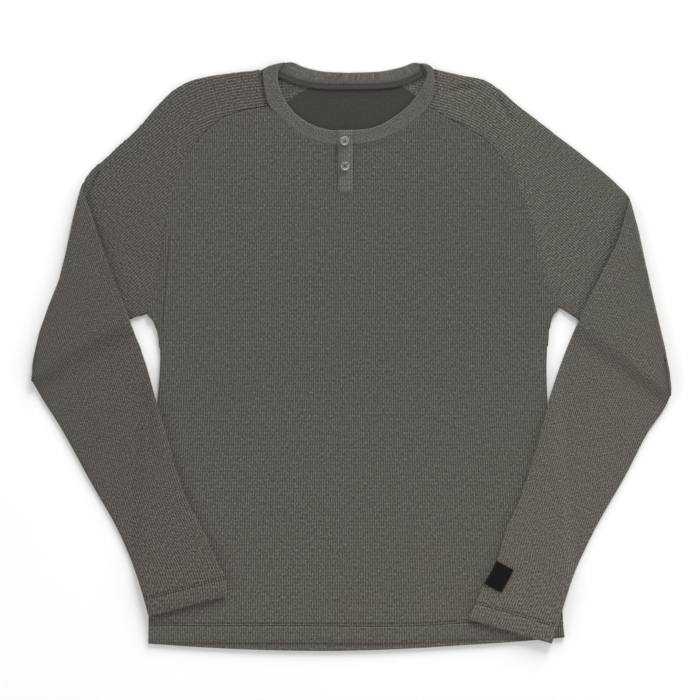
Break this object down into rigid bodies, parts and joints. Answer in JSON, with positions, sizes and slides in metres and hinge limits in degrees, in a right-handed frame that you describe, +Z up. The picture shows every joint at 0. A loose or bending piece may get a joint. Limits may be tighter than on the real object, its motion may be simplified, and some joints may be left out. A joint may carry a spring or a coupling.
{
  "type": "thermal top",
  "caption": "Long-sleeved raglan henley thermal top in heathered charcoal waffle knit, laid flat face up with both forearms folded in over the body",
  "frame": {"origin": "Centre of the outline seen from above, on the surface that the top lies on", "axes": "+X to the viewer's right, across the sleeves; +Y from the hem to the collar; +Z up, out of the front of the top"},
  "size_m": [0.7822, 0.7202, 0.0078],
  "materials": {
    "body_knit": "matte heathered waffle knit",
    "sleeve_knit": "matte heathered waffle knit",
    "rib": "matte fine rib",
    "tape": "matte jersey tape",
    "button": "translucent grey",
    "label": "black woven"
  },
  "bodies": {
    "root": {"front_panel": "body_knit", "back_panel": "body_knit", "sleeve_left": "sleeve_knit", "sleeve_right": "sleeve_knit", "neckband": "rib", "neck_tape": "tape", "placket": "rib", "button_stand": "rib", "button_upper": "button", "button_lower": "button", "cuff_label": "label"}
  },
  "joints": []
}
